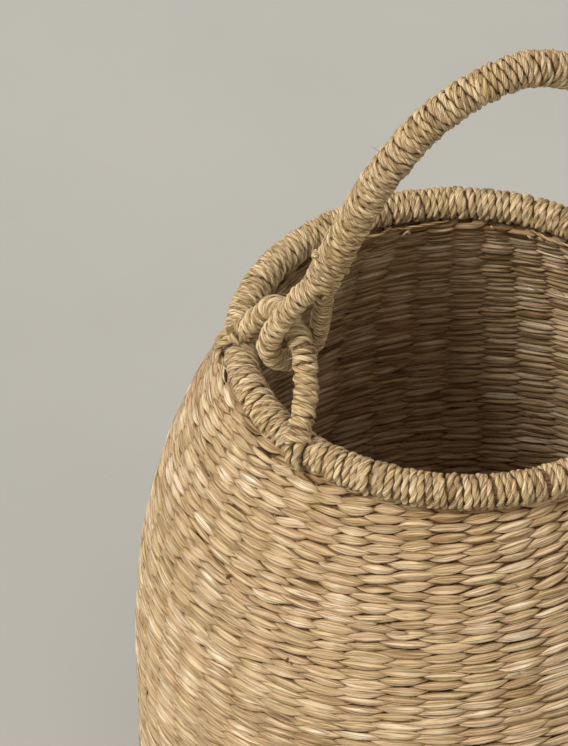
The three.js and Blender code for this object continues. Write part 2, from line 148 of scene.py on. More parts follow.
# Cord
CORD = 1.75 * MM  # radius of the two-ply cord
CORD_LAY = 13 * MM  # length in which its plies turn once round each other
CORD_FLAT = 0.94  # how thick and how wide a turn lies, against the round cord
CORD_SPREAD = 1.2
CORD_SIDES = 12
PLY_APART = 0.52  # middle of the cord to the middle of a ply, in radii of a ply
HAIR_STEPS = 6
LASH_CORD = 1.6 * MM
FINE_CORD = 1.15 * MM
FOOT_CORD = 1.9 * MM
TURN_STEPS = 36  # points along the cord for each of its turns
TURN_PITCH = 3.4 * MM
RIM_PITCH = 3.5 * MM
LOOP_PITCH = 3.3 * MM  # on the ears and the eyes
LASH_PITCH = 3.2 * MM
FINE_PITCH = 2.35 * MM
BED_DEPTH = 0.6 * MM  # how far under the middle of its turns the bundle inside a winding lies
BED_SIDES = 20
# painted shade: tone of the bundle in the gaps between a cord's turns
BED_SHADE_TONE = 0.1


def unit(vectors):
    """The same directions at length 1."""
    return vectors / np.linalg.norm(vectors, axis=-1, keepdims=True)


def eased(part):
    """Shares from 0 to 1 that start and end gently."""
    return part * part * (3 - 2 * part)


def at_stitches(values, s):
    """One value for each stitch of a closed row, carried smoothly over the crossings between."""
    low = np.floor(s).astype(int) % len(values)
    part = eased(np.clip((s - np.floor(s) - 0.3) / 0.4, 0, 1))
    return values[low] * (1 - part) + values[(low + 1) % len(values)] * part


def smooth_noise(rng, count, size, spread):
    """Values that wander smoothly, one for each of count places, about `spread` places a swing."""
    knots = rng.normal(0, size, int(count / spread) + 4)
    spot = np.arange(count) / spread
    low = spot.astype(int)
    part = eased(spot - low)
    return knots[low] * (1 - part) + knots[low + 1] * part


def lengths(points):
    """Distance along a line of points, from its start to each of them."""
    return np.concatenate([[0], np.cumsum(np.linalg.norm(np.diff(points, axis=0), axis=1))])


def read_off(at, length, values):
    """Rows of values, each of which stands at a length along a line, taken at other lengths."""
    return np.stack([np.interp(at, length, column) for column in values.T], -1)


def resample(points, count):
    """The same line with points at even distances."""
    length = lengths(points)
    return read_off(np.linspace(0, length[-1], count), length, points)


def catmull(points, steps):
    """A smooth line through points, with its ends carried straight on."""
    points = np.asarray(points, float)
    padded = np.concatenate([[2 * points[0] - points[1]], points, [2 * points[-1] - points[-2]]])
    line = []
    for i in range(1, len(padded) - 2):
        t = np.linspace(0, 1, steps, endpoint=False)[:, None]
        a, b, c, d = padded[i - 1:i + 3]
        bend = 2 * a - 5 * b + 4 * c - d
        twist = 3 * b - a - 3 * c + d
        line.append(0.5 * (2 * b + (c - a) * t + bend * t ** 2 + twist * t ** 3))
    return np.concatenate([*line, points[-1:]])


def frames_along(points, side):
    """Directions along a line of points, across it near a first side, and the third one."""
    tangent = unit(np.gradient(points, axis=0))
    across = np.empty_like(points)
    for i, along in enumerate(tangent):
        side = side - along * side.dot(along)
        side = side / np.linalg.norm(side)
        across[i] = side
    return tangent, across, np.cross(tangent, across)


def sections(line, across, third, x, y):
    """Points beside each point of a line, at distances x and y in the two directions."""
    return line[:, None] + across[..., None, :] * x[..., None] + third[..., None, :] * y[..., None]


class Shell:
    """Vertices, quads, grain coordinates and tones of many tubes, gathered for one mesh."""

    def __init__(self):
        self.points = []
        self.quads = []
        self.grain = []
        self.tone = []
        self.count = 0

    def add_tube(self, rings, along, around, tone, closed=False):
        """Adds a tube of (steps, sides, 3) points.

        along has the grain's metres for each ring and around for each side. tone is one value for
        each ring or for each point.
        """
        steps, sides = rings.shape[:2]
        index = np.arange(steps * sides).reshape(steps, sides) + self.count
        following = np.roll(index, -1, axis=0) if closed else index[1:]
        this = index if closed else index[:-1]
        beside = np.roll(this, -1, axis=1)
        beside_following = np.roll(following, -1, axis=1)
        self.quads.append(np.stack([this, beside, beside_following, following], -1).reshape(-1, 4))
        edge_u = np.append(along, along[-1] + (along[1] - along[0])) if closed else along
        edge_v = np.append(around, around[-1] + (around[1] - around[0]))
        u, v = np.meshgrid(edge_u, edge_v, indexing="ij")
        corners = [(u[:-1, :-1], v[:-1, :-1]), (u[:-1, 1:], v[:-1, 1:]),
                   (u[1:, 1:], v[1:, 1:]), (u[1:, :-1], v[1:, :-1])]
        grain = np.stack([np.stack(pair, -1) for pair in corners], 2)
        self.grain.append(grain.reshape(-1, 4, 2))
        self.points.append(rings.reshape(-1, 3))
        self.tone.append(np.broadcast_to(tone.reshape(steps, -1), (steps, sides)).ravel())
        self.count += steps * sides
        if not closed:
            self.add_cap(index[0], True)
            self.add_cap(index[-1], False)

    def add_cap(self, ring, start):
        """Closes a tube's end with quads across its section, which has an even number of sides."""
        half = len(ring) // 2
        for i in range(half - 1):
            quad = [ring[i], ring[i + 1], ring[-2 - i], ring[-1 - i]]
            self.quads.append(np.array([quad[::-1] if start else quad]))
            self.grain.append(np.zeros((1, 4, 2)))

    def mesh(self, name):
        """One smooth mesh of all that was added."""
        points = np.concatenate(self.points).astype(np.float32)
        quads = np.concatenate(self.quads).astype(np.int32)
        grain = np.concatenate(self.grain).astype(np.float32)
        mesh = bpy.data.meshes.new(name)
        mesh.vertices.add(len(points))
        mesh.vertices.foreach_set("co", points.ravel())
        mesh.loops.add(quads.size)
        mesh.loops.foreach_set("vertex_index", quads.ravel())
        mesh.polygons.add(len(quads))
        mesh.polygons.foreach_set("loop_start", np.arange(0, quads.size, 4, dtype=np.int32))
        mesh.polygons.foreach_set("use_smooth", np.ones(len(quads), bool))
        mesh.update(calc_edges=True)
        layer = mesh.uv_layers.new(name="grain")
        layer.data.foreach_set("uv", grain.ravel())
        tone = mesh.attributes.new("tone", "FLOAT", "POINT")
        tone.data.foreach_set("value", np.concatenate(self.tone).astype(np.float32))
        mesh.validate()
        return mesh


def place(shell, name, body, material, nodes=()):
    """Makes the shell's mesh a piece that rides on a body and stands for CAD nodes."""
    piece = bpy.data.objects.new(name, shell.mesh(name))
    bpy.context.scene.collection.objects.link(piece)
    piece.data.materials.append(material)
    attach(piece, body)
    if nodes:
        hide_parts(*nodes)


# Materials


class Nodes:
    """Short names for the nodes and links of one material."""

    def __init__(self, name):
        self.material = bpy.data.materials.new(name)
        self.material.use_nodes = True
        self.tree = self.material.node_tree
        self.shader = self.tree.nodes["Principled BSDF"]

    def node(self, kind, **sockets):
        """A new node. A socket is given by its name, with _ for a space, or by number, as i0."""
        made = self.tree.nodes.new(kind)
        for name, value in sockets.items():
            key = int(name[1:]) if name[0] == "i" and name[1:].isdigit() else name.replace("_", " ")
            if isinstance(value, bpy.types.NodeSocket):
                self.tree.links.new(value, made.inputs[key])
            else:
                made.inputs[key].default_value = value
        return made

    def link(self, output, target):
        self.tree.links.new(output, target)

    def noise(self, vector, scale, detail, roughness=0.5, stretch=None):
        """Noise on coordinates, which are scaled along each axis first where stretch is given."""
        if stretch:
            mapping = self.node("ShaderNodeMapping", Vector=vector)
            mapping.inputs["Scale"].default_value = stretch
            vector = mapping.outputs[0]
        made = self.node("ShaderNodeTexNoise", Vector=vector, Scale=scale, Detail=detail)
        made.inputs["Roughness"].default_value = roughness
        return made.outputs["Fac"]

    def math(self, operation, first, second=0.0):
        made = self.node("ShaderNodeMath", i0=first, i1=second)
        made.operation = operation
        return made.outputs[0]

    def ramp(self, factor, *stops):
        """A colour ramp with at least two stops, each a position and a colour."""
        made = self.node("ShaderNodeValToRGB", Fac=factor)
        ramp = made.color_ramp
        while len(ramp.elements) < len(stops):
            ramp.elements.new(0.5)
        for element, (position, colour) in zip(ramp.elements, stops):
            element.position = position
            element.color = (*colour, 1)
        return made.outputs["Color"]

    def mix(self, kind, factor, first, second):
        """Two colours mixed by a share. Each of the three is a value or another node's output."""
        made = self.tree.nodes.new("ShaderNodeMix")
        made.data_type = "RGBA"
        made.blend_type = kind
        for key, value in ((0, factor), (6, first), (7, second)):
            if isinstance(value, bpy.types.NodeSocket):
                self.link(value, made.inputs[key])
            else:
                made.inputs[key].default_value = value
        return made.outputs[2]


CREASE = 0.475  # value of the noise where a strand is creased


def plant_fibre(name, tones, streak, fibre_width, bump, roughness, tint, crease):
    """Dry leaf or grass strands: a tone for each stitch, streaks along it, creases with painted shade,
    and tints.
    """
    n = Nodes(name)
    grain_map = n.tree.nodes.new("ShaderNodeUVMap")
    grain_map.uv_map = "grain"
    grain = grain_map.outputs["UV"]
    spot = n.tree.nodes.new("ShaderNodeTexCoord").outputs["Object"]
    tone = n.tree.nodes.new("ShaderNodeAttribute")
    tone.attribute_name = "tone"
    fibres = n.noise(grain, 1.0, 3.0, 0.7, stretch=(0.04 / fibre_width, 1 / fibre_width, 1))
    folds = n.noise(grain, 1.0, 1.0, stretch=(0.012 / fibre_width, 0.36 / fibre_width, 1))
    age = n.noise(grain, 1.0, 1.0, stretch=(45, 160, 1))
    blots = n.noise(spot, 45.0, 3.0, 0.6)
    white = (1.0, 1.0, 1.0)
    dark = (streak, streak * 0.92, streak * 0.8)
    # Painted shade: the creases along a strand are darkened.
    deep = (crease, crease * 0.86, crease * 0.68)
    layers = (
        (1.0, n.ramp(fibres, (0.3, dark), (0.5, (0.97, 0.96, 0.95)), (0.7, (1.18, 1.17, 1.14)))),
        (1.0, n.ramp(folds, (0.425, white), (CREASE, deep), (0.525, white))),
        (0.85, n.ramp(blots, (0.36, tint), (0.52, white))),
        (1.0, n.ramp(age, (0.32, (0.97, 0.99, 0.9)), (0.5, white), (0.68, (1.03, 1.0, 1.02)))),
    )
    colour = n.ramp(tone.outputs["Fac"], *tones)
    for share, layer in layers:
        colour = n.mix("MULTIPLY", share, colour, layer)
    n.link(colour, n.shader.inputs["Base Color"])
    beside_crease = n.math("ABSOLUTE", n.math("SUBTRACT", folds, CREASE))
    groove = n.node("ShaderNodeMapRange", Value=beside_crease, From_Max=0.06)
    height = n.math("ADD", fibres, n.math("MULTIPLY", groove.outputs[0], 0.7))
    bumps = n.node("ShaderNodeBump", Height=height, Strength=bump, Distance=0.6 * MM)
    n.link(bumps.outputs[0], n.shader.inputs["Normal"])
    dull, shiny = roughness + 0.12, roughness - 0.1
    rough = n.node("ShaderNodeMapRange", Value=fibres, To_Min=dull, To_Max=shiny)
    n.link(rough.outputs[0], n.shader.inputs["Roughness"])
    n.shader.inputs["Specular IOR Level"].default_value = 0.26
    return n.material


STRAW_TONES = (
    (0.0, (0.16, 0.08, 0.028)),
    (0.25, (0.42, 0.272, 0.128)),
    (0.6, (0.625, 0.445, 0.252)),
    (0.8, (0.73, 0.553, 0.347)),
    (1.0, (0.88, 0.735, 0.52)),
)
CORD_TONES = (
    (0.0, (0.16, 0.08, 0.028)),
    (0.3, (0.49, 0.318, 0.15)),
    (0.6, (0.755, 0.54, 0.292)),
    (1.0, (0.94, 0.745, 0.455)),
)
CANE_TONES = ((0.0, (0.50, 0.36, 0.19)), (1.0, (0.74, 0.60, 0.40)))

straw = plant_fibre(
    "seagrass_weave", STRAW_TONES, streak=0.58, fibre_width=0.55 * MM, bump=0.8, roughness=0.5,
    tint=(0.94, 0.9, 0.83), crease=0.55,
)
cord_fibre = plant_fibre(
    "seagrass_cord", CORD_TONES, streak=0.4, fibre_width=0.42 * MM, bump=1.0, roughness=0.52,
    tint=(0.93, 0.9, 0.8), crease=0.34,
)
cane = plant_fibre(
    "split_cane", CANE_TONES, streak=0.8, fibre_width=0.4 * MM, bump=0.4, roughness=0.55,
    tint=(0.85, 0.78, 0.66), crease=0.85,
)


# Body weave


def wall_line():
    """Outside of the body as radius and height, from the middle of the base to under the rim."""
    flat = np.linspace(0, BASE_RADIUS, 80)[:-1]
    base = np.stack([flat, np.zeros_like(flat)], 1)
    turn = np.linspace(0, math.pi / 2, 40)
    heel_radius = BASE_RADIUS + (BODY_RADIUS - BASE_RADIUS) * np.sin(turn)
    heel = np.stack([heel_radius, HEEL_HEIGHT * (1 - np.cos(turn))], 1)
    top = RIM_HEIGHT - RIM_ROLL
    rise = np.linspace(0, 1 + UNDER_RIM / (top - SHOULDER_HEIGHT), 160)
    upper = np.stack([
        BODY_RADIUS - (BODY_RADIUS - NECK_RADIUS) * rise ** SHOULDER_POWER,
        SHOULDER_HEIGHT + (top - SHOULDER_HEIGHT) * rise,
    ], 1)
    return np.concatenate([base, heel, upper])


class Profile:
    """The middle of the wall by distance from the middle of the base: place, way up and way out."""

    def __init__(self):
        line = wall_line()
        along = unit(np.gradient(line, axis=0))
        out = np.stack([along[:, 1], -along[:, 0]], 1)
        self.line = line - out * WALL_DEPTH
        self.out = out
        self.length = lengths(self.line)

    def at(self, distance):
        """Place, way up and way out at one distance or at many, each as radius and height."""
        middle = read_off(distance, self.length, self.line)
        out = unit(read_off(distance, self.length, self.out))
        return middle, np.stack([-out[..., 1], out[..., 0]], -1), out


def row_stakes(radius):
    """Stakes that a row is twined round: in pairs and fours near the middle of the base."""
    if radius < FOURS_RADIUS:
        return STAKES // 4
    return STAKES // 2 if radius < PAIRS_RADIUS else STAKES


def strand_face(rng, s, away, climb, pitch, bulk, lines, falls):
    """One face of a strand as lines along it: their heights, their depths and their shade."""
    stakes = len(s) // STITCH_STEPS
    half = pitch * np.interp(away, FACE_PLACES, FACE_HALF) * bulk
    middle = pitch * np.interp(away, FACE_PLACES, FACE_UP) * climb
    depth = np.interp(away, FACE_PLACES, FACE_OUT) * MM
    fall = at_stitches(rng.uniform(*falls, stakes), s)
    full = np.sqrt(np.clip(half / (0.5 * pitch), 0.05, 1))
    # Painted shade: dark specks at the tips of some stitches, where the strands dive into the holes
    # between rows.
    shaded_tips = at_stitches(np.where(rng.random(stakes) < 0.4, 0.85, 0.1), s + 0.5)
    tip = shaded_tips * np.exp(-((away - 0.6) / 0.07) ** 2)
    # Paler middles on some stitches: partly bleached fibre, partly a painted highlight where the
    # stitch bulges over its stake.
    bleach_and_highlight = at_stitches(0.34 * rng.random(stakes) ** 2.5, s) * np.exp(-(away / 0.27) ** 2)
    heights, depths, shades = [], [], []
    for share in np.linspace(1, -1, lines):
        inside = float(abs(share) < 0.99)
        # The shade follows the fold: painted shade where a line sinks, painted light where it rises.
        fold = inside * at_stitches(rng.normal(0, 1, stakes), s)
        sway = inside * at_stitches(rng.normal(0, 0.12, stakes), s)
        heights.append(middle + half * (share + sway))
        depths.append(depth + (FOLD * fold - TILT * share - fall * abs(share) ** 3.5) * full)
        # Painted shade: the edges of each stitch are darkened, most along the upper edge, which lies
        # under the row above.
        edge = (0.14 + 0.03 * share) * abs(share) ** 5
        shades.append(0.1 * fold - edge - tip * abs(share) + bleach_and_highlight)
    return np.stack(heights, 1), np.stack(depths, 1), np.stack(shades, 1)


def twine_row(shell, rng, profile, distance, pitch, shade_shift):
    """One row: two strands that take turns outside and inside the stakes and cross between them."""
    radius = float(profile.at(distance)[0][0])
    stakes = row_stakes(radius)
    steps = stakes * STITCH_STEPS
    s = (np.arange(stakes)[:, None] + STITCH_PLACES).ravel()
    aside = at_stitches(rng.normal(0, 0.065, stakes), s + 0.5)
    angle = (s + 0.5 + aside) * 2 * math.pi / stakes
    lift = max(0.0, 1 - max(0.0, radius - CROSSING_RADIUS) / CROSSING_FADE) * CROSSING_LIFT
    joined = np.clip(np.minimum(s, stakes - s) / 2, 0, 1)
    drift = smooth_noise(rng, steps, 0.26 * MM, STITCH_STEPS * 4) * joined
    middle, up, out = profile.at(distance + drift)
    row_tone = rng.normal(0.6 + shade_shift, 0.035)
    for strand in (0, 1):
        beside = (s - strand + 1) % 2 - 1
        away = np.abs(beside)
        bulk = at_stitches(rng.normal(1.02, 0.12, stakes), s)
        climb = np.sign(beside) * at_stitches(rng.normal(1, 0.32, stakes), s)
        tone = at_stitches(rng.normal(0, 0.065, stakes), s)
        tone = row_tone + tone + smooth_noise(rng, steps, 0.06, STITCH_STEPS * 6) * joined
        outer = strand_face(rng, s, away, climb, pitch, bulk, OUTER_LINES, OUTER_FALL)
        inner = strand_face(rng, s, 1 - away, climb, pitch, bulk, INNER_LINES, INNER_FALL)
        # Painted shade on the inner faces, with a tone that also differs at random from stitch to
        # stitch.
        dim = at_stitches(rng.normal(INNER_SHADE, 0.13, stakes), s)[:, None]
        heights = np.concatenate([outer[0], inner[0][:, ::-1]], 1)
        depths = np.concatenate([outer[1], -inner[1][:, ::-1]], 1) * (1 + lift / WALL_DEPTH)
        shade = np.concatenate([outer[2], inner[2][:, ::-1] + dim], 1) + tone[:, None]
        flat = sections(middle, up, out, heights, depths)
        r, z = flat[..., 0], np.maximum(flat[..., 1] + lift, 0)
        ring = np.stack([r * np.cos(angle)[:, None], r * np.sin(angle)[:, None], z], -1)
        sides = ring.shape[1]
        along = angle * radius + rng.uniform(0, 1)
        around = np.arange(sides) / sides * 2.4 * pitch + rng.uniform(0, 1)
        shell.add_tube(ring[:, ::-1], along, around, np.clip(shade, 0, 1)[:, ::-1], closed=True)


def add_blade(shell, points, across, normal, wide, thin, tone):
    """A flat strip along points that narrows to both ends."""
    steps = len(points)
    taper = 0.25 + 0.75 * np.sin(np.linspace(0.1, 0.9, steps) * math.pi) ** 0.6
    side = np.arange(BLADE_SIDES)
    turn = 2 * math.pi * (side + 0.5) / BLADE_SIDES
    x, y = np.outer(taper * wide, np.cos(turn)), np.outer(taper * thin, np.sin(turn))
    rings = sections(points, across, normal, x, y)
    shell.add_tube(rings, lengths(points), side * wide, np.full((steps, 1), tone))


def wall_frame(profile, distance, angle):
    """Middle of the wall at a distance and an angle, with the ways up and out."""
    c, s = np.cos(angle), np.sin(angle)
    flats = profile.at(distance)
    return [np.stack([flat[..., 0] * c, flat[..., 0] * s, flat[..., 1]], -1) for flat in flats]


def add_knot(shell, spot):
    """A short strand end that is turned back into the wall, toned near black as painted shade of its
    hole.
    """
    out = unit(spot * np.array([1, 1, 0]))
    along = np.cross([0, 0, 1], out)
    part = np.linspace(0, 1, 9)[:, None]
    lean = along * 1.6 * MM + np.array([0, 0, 4 * MM])
    line = spot + lean * (part - 0.5) + out * (1.2 * MM * np.sin(part * math.pi) - 0.4 * MM)
    normal = np.broadcast_to(out, line.shape)
    add_blade(shell, line, unit(np.cross(normal, lean)), normal, 0.75 * MM, 0.45 * MM, 0.02)
    other = spot + (along * 5 * MM - np.array([0, 0, 1.5 * MM])) * (part - 0.4) + out * 0.4 * MM * part
    add_blade(shell, other, unit(np.cross(normal, along)), normal, 0.5 * MM, 0.35 * MM, 0.15)


def make_strand_ends(profile, join):
    """Ends of strands that stand out of the weave where a new strand was laid in."""
    rng = np.random.default_rng(17)
    shell = Shell()
    last = profile.length[-1]
    for i in range(STRAND_ENDS):
        face = 1 if i % 3 else -1
        distance = rng.uniform(join + 48 * MM, last - 8 * MM)
        radius = float(profile.at(distance)[0][0])
        stake = rng.integers(STAKES) + 0.5
        length = rng.uniform(7, 13) * MM
        part = np.linspace(0, 1, 7)
        way = rng.choice([-1, 1])
        angle = (stake + 0.5) * 2 * math.pi / STAKES + way * part * length / radius
        climb = distance + rng.normal(0, 0.8 * MM) + part * length * (0.18 * way + rng.normal(0, 0.12))
        middle, up, out = wall_frame(profile, climb, angle)
        depth = 3.3 * MM + (1.6 * MM + rng.uniform(0, 0.9) * MM) * part ** 0.8
        points = middle + out * (face * depth)[:, None]
        wide = rng.uniform(0.5, 1.3) * MM
        add_blade(shell, points, up, out, wide, 0.28 * MM, rng.uniform(0.35, 0.95))
    for x, y, z in KNOTS:
        add_knot(shell, np.array((x, y, z)) * MM)
    place(shell, "weave_strand_ends", "basket", straw)


def make_shade_sheet(profile, first):
    """A near-black sheet between the two faces of the wall: painted shade that shows in the gaps of
    the weave.
    """
    distance = np.linspace(first, profile.length[-1] - 2 * MM, 60)
    middle, _, out = profile.at(distance)
    flat = np.concatenate([middle + out * SHADE_SHEET_HALF_DEPTH, (middle - out * SHADE_SHEET_HALF_DEPTH)[::-1]])
    angle = np.arange(2 * STAKES) * math.pi / STAKES
    r = flat[:, 0]
    z = np.broadcast_to(flat[:, 1], (len(angle), len(flat)))
    rings = np.stack([np.outer(np.cos(angle), r), np.outer(np.sin(angle), r), z], -1)
    tone = np.full((len(angle), 1), SHADE_SHEET_TONE)
    shell = Shell()
    shell.add_tube(rings, angle * BODY_RADIUS, lengths(flat), tone, closed=True)
    place(shell, "weave_backing", "basket", straw)


def make_body():
    """The rows of the weave in bands of eight rounds, with what lies between and stands out."""
    profile = Profile()
    rng = np.random.default_rng(11)
    rows = int((profile.length[-1] - FIRST_ROW) / ROW_PITCH)
    pitch = (profile.length[-1] - FIRST_ROW) / rows
    join = profile.length[np.argmax(profile.line[:, 0] > BASE_JOIN)]
    bands = {}
    stitches = {"base": 0, "wall": 0}
    for row in range(rows):
        distance = FIRST_ROW + (row + 0.5) * pitch
        kind = "base" if distance < join else "wall"
        name = f"weave_{kind}_{1 + stitches[kind] // STITCHES_IN_BAND:02d}"
        stitches[kind] += row_stakes(float(profile.at(distance)[0][0]))
        # Painted shade under the rim: the last rows are toned darker.
        shade_shift = DIM_SHADE if row >= rows - DIM_ROWS else 0.0
        twine_row(bands.setdefault(name, Shell()), rng, profile, distance, pitch, shade_shift)
    for name, shell in bands.items():
        kind = name.split("_")[1]
        nodes = [f"{kind}_outer_weave", f"{kind}_inner_weave"]
        place(shell, name, "basket", straw, nodes)
    make_strand_ends(profile, join)
    make_shade_sheet(profile, join)


# Wound cord


def wind(rng, points, side, wide, deep, pitch, slant, lean=0.0, jitter=0.12):
    """A cord wound round a line of points: its middle, and the way out from the line.

    wide and deep are the cord's distances from the line, along the side direction and across it,
    each one number or one for every point. slant tips every turn, highest towards the angle lean.
    jitter is how far the turns wander along the line, as a share of their spacing.
    """
    tangent, across, third = frames_along(points, side)
    length = lengths(points)
    turns = max(1, round(length[-1] / pitch))
    count = turns * TURN_STEPS + 1
    phase = np.linspace(0, 2 * math.pi * turns, count)
    along = np.linspace(0, length[-1], count)
    step = length[-1] / turns
    along = along + smooth_noise(rng, count, jitter * step, TURN_STEPS * 0.7)
    wide = np.interp(along, length, np.broadcast_to(wide, len(points)))
    deep = np.interp(along, length, np.broadcast_to(deep, len(points)))
    along = along + slant * np.maximum(wide, deep) * np.cos(phase - lean)
    along = np.clip(along, -0.2 * step, length[-1] + 0.2 * step)

    def pick(values):
        return read_off(along, length, values)

    a, b = unit(pick(across)), unit(pick(third))
    loose = 1 + smooth_noise(rng, count, 0.028, TURN_STEPS * 0.6)
    out = a * (np.cos(phase) * wide * loose)[:, None]
    out = out + b * (np.sin(phase) * deep * loose)[:, None]
    beyond = np.minimum(along, 0) + np.maximum(along - length[-1], 0)
    middle = pick(points) + pick(tangent) * beyond[:, None]
    return middle + out, unit(a * np.cos(phase)[:, None] + b * np.sin(phase)[:, None])


def lay_bed(shell, line, side, wide, deep):
    """The bundle that a cord is wound on, toned near black as painted shade in the gaps between its
    turns.
    """
    _, across, third = frames_along(line, side)
    turn = 2 * math.pi * np.arange(BED_SIDES) / BED_SIDES
    wide = np.broadcast_to(wide, len(line)) - BED_DEPTH
    deep = np.broadcast_to(deep, len(line)) - BED_DEPTH
    x, y = np.outer(wide, np.cos(turn)), np.outer(deep, np.sin(turn))
    rings = sections(line, across, third, x, y)
    shell.add_tube(rings, lengths(line), turn * wide.mean(), np.full((len(line), 1), BED_SHADE_TONE))


def lay_cord(shell, rng, points, outward, radius=CORD, lay=CORD_LAY, tone=0.78, hairs=0):
    """A two-ply cord along points, a little flattened against what it is wound on."""
    tangent = unit(np.gradient(points, axis=0))
    out = unit(outward - tangent * np.sum(outward * tangent, 1)[:, None])
    cross = np.cross(tangent, out)
    length = lengths(points)
    turn = 2 * math.pi * length / lay + rng.uniform(0, 6.28)
    turn = turn + smooth_noise(rng, len(points), 0.55, 26)
    angle = 2 * math.pi * np.arange(CORD_SIDES) / CORD_SIDES
    ply = PLY_APART * np.abs(np.cos(angle)) + np.sqrt(1 - (PLY_APART * np.sin(angle)) ** 2)
    folds = [smooth_noise(rng, len(points), 0.08, 15) for _ in range(CORD_SIDES)]
    reach = radius * ply / (1 + PLY_APART) * (1 + np.stack(folds, 1))
    theta = angle[None, :] + turn[:, None]
    thickness = 1 + smooth_noise(rng, len(points), 0.07, 16)
    x = reach * np.cos(theta) * thickness[:, None] * CORD_FLAT
    y = reach * np.sin(theta) * thickness[:, None] * CORD_SPREAD
    rings = sections(points, out, cross, x, y)
    first_ply = np.where(np.cos(angle) > 0, 1.0, -1.0)[None, :]
    ply_tone = first_ply * smooth_noise(rng, len(points), 0.08, 25)[:, None]
    # Painted shade in the groove between the two plies.
    groove = -0.36 * np.abs(np.sin(angle))[None, :] ** 6
    fibre_tone = np.stack([smooth_noise(rng, len(points), 0.1, 18) for _ in range(CORD_SIDES)], 1)
    shade = tone + smooth_noise(rng, len(points), 0.11, 22)[:, None] + ply_tone + fibre_tone + groove
    around = angle * radius
    shell.add_tube(rings, length + rng.uniform(0, 1), around + rng.uniform(0, 1), np.clip(shade, 0, 1))
    for _ in range(hairs):
        add_hair(shell, rng, points, tangent, out, radius)


def add_hair(shell, rng, points, tangent, out, radius):
    """A loose fibre that stands off the cord at some place along it."""
    at = rng.integers(len(points))
    away = tangent[at] * rng.choice([-1, 1]) + out[at] * rng.uniform(0.15, 0.9) + rng.normal(0, 0.3, 3)
    away = away / np.linalg.norm(away)
    length = rng.uniform(1.2, 3.4) * MM
    part = np.linspace(0, 1, HAIR_STEPS)[:, None]
    bend = rng.normal(0, 0.6, 3) * length
    line = points[at] + out[at] * radius * 0.7 + away * part * length + bend * part ** 2
    side = unit(np.cross(away, out[at]) + 1e-6)
    other = np.cross(away, side)
    thick = np.linspace(0.16, 0.06, HAIR_STEPS) * MM
    turn = 2 * math.pi * (np.arange(4) + 0.5) / 4
    x, y = np.outer(thick, np.cos(turn)), np.outer(thick, np.sin(turn))
    rings = sections(line, side, other, x, y)
    tone = np.full((HAIR_STEPS, 1), rng.uniform(0.5, 1))
    shell.add_tube(rings, lengths(line), np.arange(4) * 0.1 * MM, tone)


def wrap(shell, rng, line, side, radii, pitch, winding, **cord):
    """Winds a cord round a bundle that follows a line. radii are its reach along and across side."""
    wide, deep = radii
    lay_bed(shell, line, side, wide, deep)
    points, out = wind(rng, line, side, wide, deep, pitch, **winding)
    lay_cord(shell, rng, points, out, **cord)


# Rim and ears


def rim_point(angle, out=0.0, up=0.0):
    """Places beside the middle of the rim, at distances outwards and up from it."""
    radius = RIM_RADIUS + out
    parts = np.broadcast_arrays(radius * np.cos(angle), radius * np.sin(angle), RIM_HEIGHT + up)
    return np.stack(parts, -1)


def make_rim():
    """The rim's turns in four spans, between the feet of the ears."""
    rng = np.random.default_rng(23)
    near = LEG_ANGLE - BINDING_ANGLE
    far = LEG_ANGLE + BINDING_ANGLE
    spans = {
        "rim_wrap_right": (-near, near),
        "rim_wrap_left": (math.pi - near, math.pi + near),
        "rim_wrap_back": (far, math.pi - far),
        "rim_wrap_front": (math.pi + far, 2 * math.pi - far),
    }
    for node, (start, end) in spans.items():
        angle = np.linspace(start, end, max(8, int((end - start) * 60)))
        line = rim_point(angle)
        outwards = np.array([math.cos(start), math.sin(start), 0])
        roll = RIM_ROLL - CORD
        if node == "rim_wrap_front":
            ease = np.clip(np.minimum(angle - start, end - angle) / 0.3, 0, 1)
            line = line + np.array([0, 0, 0.5 * MM]) * ease[:, None]
            roll = roll + 0.4 * MM * ease
        shell = Shell()
        winding = {"slant": 0.12, "lean": -0.6, "jitter": 0.16}
        hairs = int((end - start) * 9)
        wrap(shell, rng, line, outwards, (roll, roll), RIM_PITCH, winding, hairs=hairs)
        place(shell, f"{node}_cord", "basket", cord_fibre, [node])


def ear_point(y, z, out=0.0):
    """A place in the leaning plane of the ear on the +X side."""
    lean = (HINGE.z + EAR_HALF - z) * math.tan(EAR_LEAN)
    return np.array([EAR_TOP + lean + out, y, z])


def over_rim(reach, turn, leg_angle):
    """A place beside the rim roll at an ear's foot, at an angle up from straight outwards."""
    return rim_point(leg_angle, reach * math.cos(turn), reach * math.sin(turn))


def ear_leg(leg_angle, foot_turn, hook, drift):
    """Half of the ear on the +X side, from its end on the rim up to just beside the top."""
    half = []
    for degrees, out in ((62, 1.8), (45, 0.8), (30, 0.2), (15, 0)):
        turn = math.radians(degrees)
        reach = EAR_HALF * (1 + EAR_SQUARE * math.sin(2 * turn) ** 2)
        half.append(ear_point(reach * math.sin(turn), HINGE.z + reach * math.cos(turn), out * MM))
    foot = over_rim(12.8 * MM, foot_turn, leg_angle)
    knee = (half[0] + foot) / 2 + np.array([-0.4 * MM, 0.6 * MM, 0])
    side = over_rim(11.4 * MM, (hook + foot_turn) / 2, leg_angle + drift / 2)
    return [over_rim(10.4 * MM, hook, leg_angle + drift), side, foot, knee, *half]


def ear_line():
    """Middle of the wrapped ear on the +X side, from over the back of the rim to over its front."""
    back = ear_leg(LEG_ANGLE, math.radians(93), math.radians(48), FOOT_DRIFT)
    front = ear_leg(TIGHT_LEG_ANGLE, math.radians(104), math.radians(66), 0)
    mirror = np.array([1, -1, 1])
    line = [*back, ear_point(0, HINGE.z + EAR_HALF), *[point * mirror for point in reversed(front)]]
    return resample(catmull(line, 10), 150)


